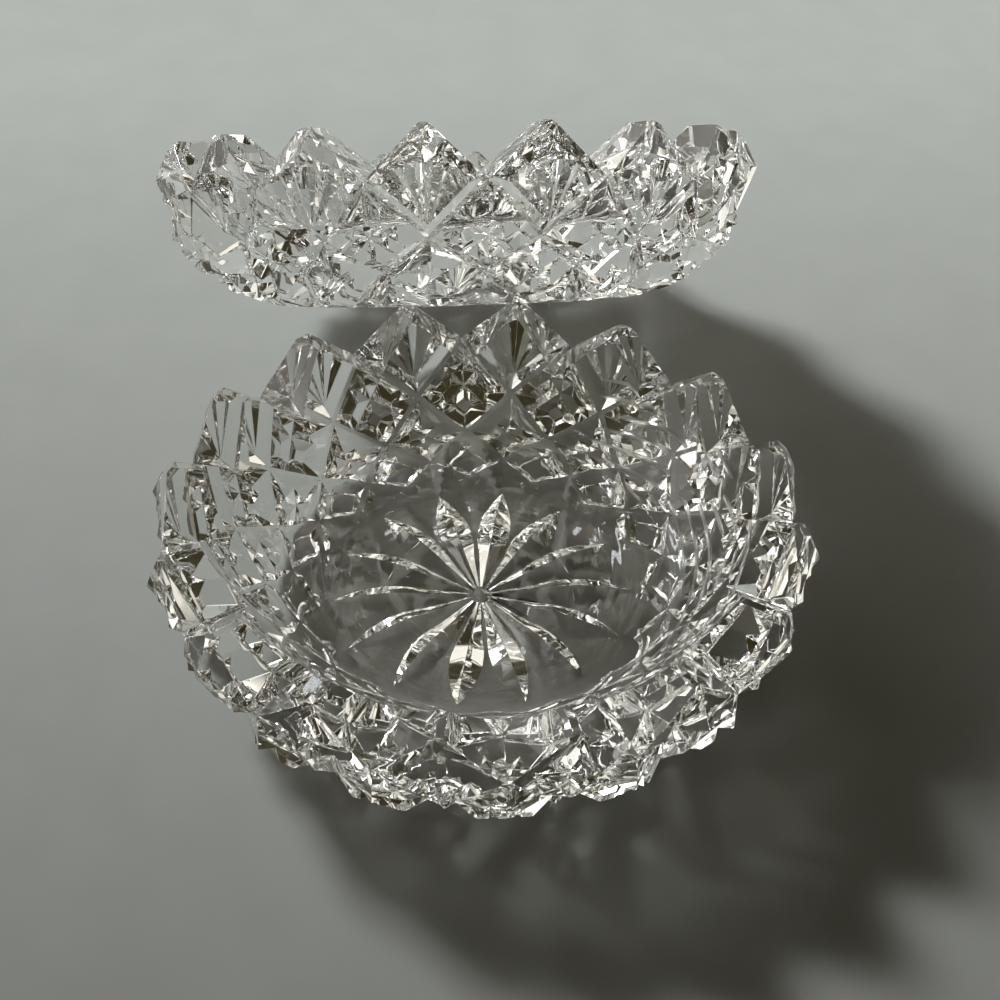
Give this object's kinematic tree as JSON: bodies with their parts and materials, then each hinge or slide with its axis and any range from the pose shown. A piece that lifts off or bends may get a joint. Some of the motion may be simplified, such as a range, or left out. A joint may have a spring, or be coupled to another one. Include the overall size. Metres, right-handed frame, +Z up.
{
  "type": "open salt cellar pair",
  "caption": "Matched pair of thick cut-glass open salts with a toothed rim, diamond-cut sides and a star-cut base, one standing flat and one leaning on its rim.",
  "frame": {"origin": "centre of the standing salt's flat base, on the table", "axes": "+Z up along the standing salt's axis, +Y towards the leaning salt, +X to the right seen from the front"},
  "size_m": [0.062, 0.0981, 0.0437],
  "materials": {
    "clear_glass": "polished"
  },
  "bodies": {
    "standing_salt": {"standing_salt": "clear_glass"},
    "leaning_salt": {"leaning_salt": "clear_glass"}
  },
  "joints": [
    {"name": "leaning_salt_lift", "type": "slide", "parent": "standing_salt", "child": "leaning_salt", "axis": [0, 0, 1], "range_m": [0, 0.05]}
  ]
}
